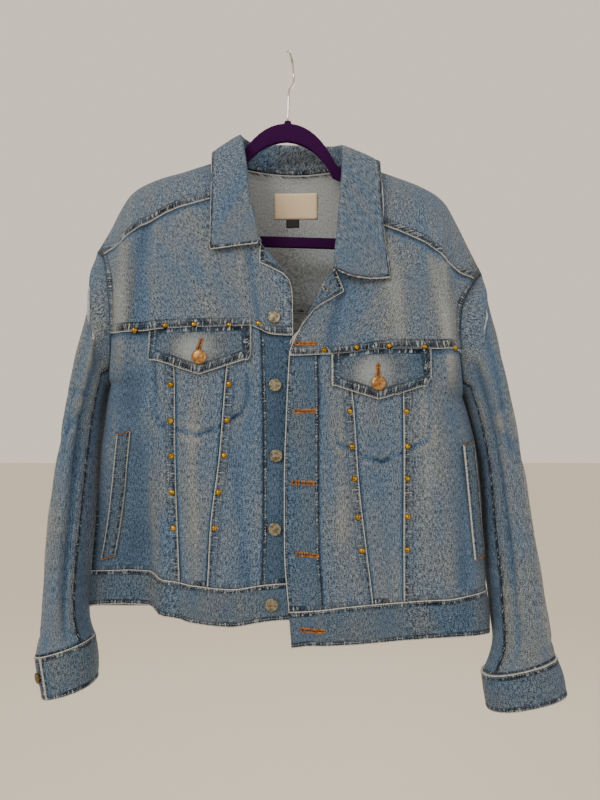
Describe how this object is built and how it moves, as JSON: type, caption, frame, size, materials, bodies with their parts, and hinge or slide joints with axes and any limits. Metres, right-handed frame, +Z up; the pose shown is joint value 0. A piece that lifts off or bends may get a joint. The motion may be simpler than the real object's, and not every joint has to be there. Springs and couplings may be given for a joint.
{
  "type": "denim jacket on a hanger",
  "caption": "Cropped washed-denim trucker jacket with metal studs and flap pockets, hanging open-collared on a slim velvet hanger.",
  "frame": {"origin": "inside top of the hanger's hook, where the rail holds it", "axes": "+Z up, +X to the wearer's left, the front faces -Y"},
  "size_m": [0.6318, 0.135, 0.8225],
  "materials": {
    "washed_denim": "light stone-washed blue cotton denim, pale at worn edges",
    "brass": "domed brass-coloured studs",
    "aged_nickel": "dull antique nickel shank buttons",
    "copper_brass": "coppery brass shank buttons",
    "woven_label": "cream woven cotton with a small black tab, both bare",
    "velvet": "flocked purple velvet over moulded plastic",
    "hook_steel": "bright plated steel wire"
  },
  "bodies": {
    "root": {"front_side_r": "washed_denim", "front_middle_r": "washed_denim", "front_centre_r": "washed_denim", "placket_r": "washed_denim", "front_yoke_r": "washed_denim", "facing_r": "washed_denim", "waistband_front_r": "washed_denim", "sleeve_top_r": "washed_denim", "sleeve_under_r": "washed_denim", "cuff_r": "washed_denim", "flap_r": "washed_denim", "welt_r": "washed_denim", "front_side_l": "washed_denim", "front_middle_l": "washed_denim", "front_centre_l": "washed_denim", "placket_l": "washed_denim", "front_yoke_l": "washed_denim", "facing_l": "washed_denim", "waistband_front_l": "washed_denim", "sleeve_top_l": "washed_denim", "sleeve_under_l": "washed_denim", "cuff_l": "washed_denim", "flap_l": "washed_denim", "welt_l": "washed_denim", "back_panel": "washed_denim", "back_yoke": "washed_denim", "waistband_back": "washed_denim", "collar": "washed_denim", "stud_outer_r_1": "brass", "stud_outer_r_2": "brass", "stud_outer_r_3": "brass", "stud_outer_r_4": "brass", "stud_outer_r_5": "brass", "stud_outer_l_1": "brass", "stud_outer_l_2": "brass", "stud_outer_l_3": "brass", "stud_outer_l_4": "brass", "stud_outer_l_5": "brass", "stud_inner_r_1": "brass", "stud_inner_r_2": "brass", "stud_inner_r_3": "brass", "stud_inner_r_4": "brass", "stud_inner_r_5": "brass", "stud_inner_l_1": "brass", "stud_inner_l_2": "brass", "stud_inner_l_3": "brass", "stud_inner_l_4": "brass", "stud_inner_l_5": "brass", "front_button_1": "aged_nickel", "front_button_2": "aged_nickel", "front_button_3": "aged_nickel", "front_button_4": "aged_nickel", "front_button_5": "aged_nickel", "cuff_button_r": "aged_nickel", "cuff_button_l": "aged_nickel", "flap_button_r": "copper_brass", "flap_button_l": "copper_brass", "neck_label": "woven_label", "hanger": "velvet", "hanger_hook": "hook_steel"}
  },
  "joints": []
}
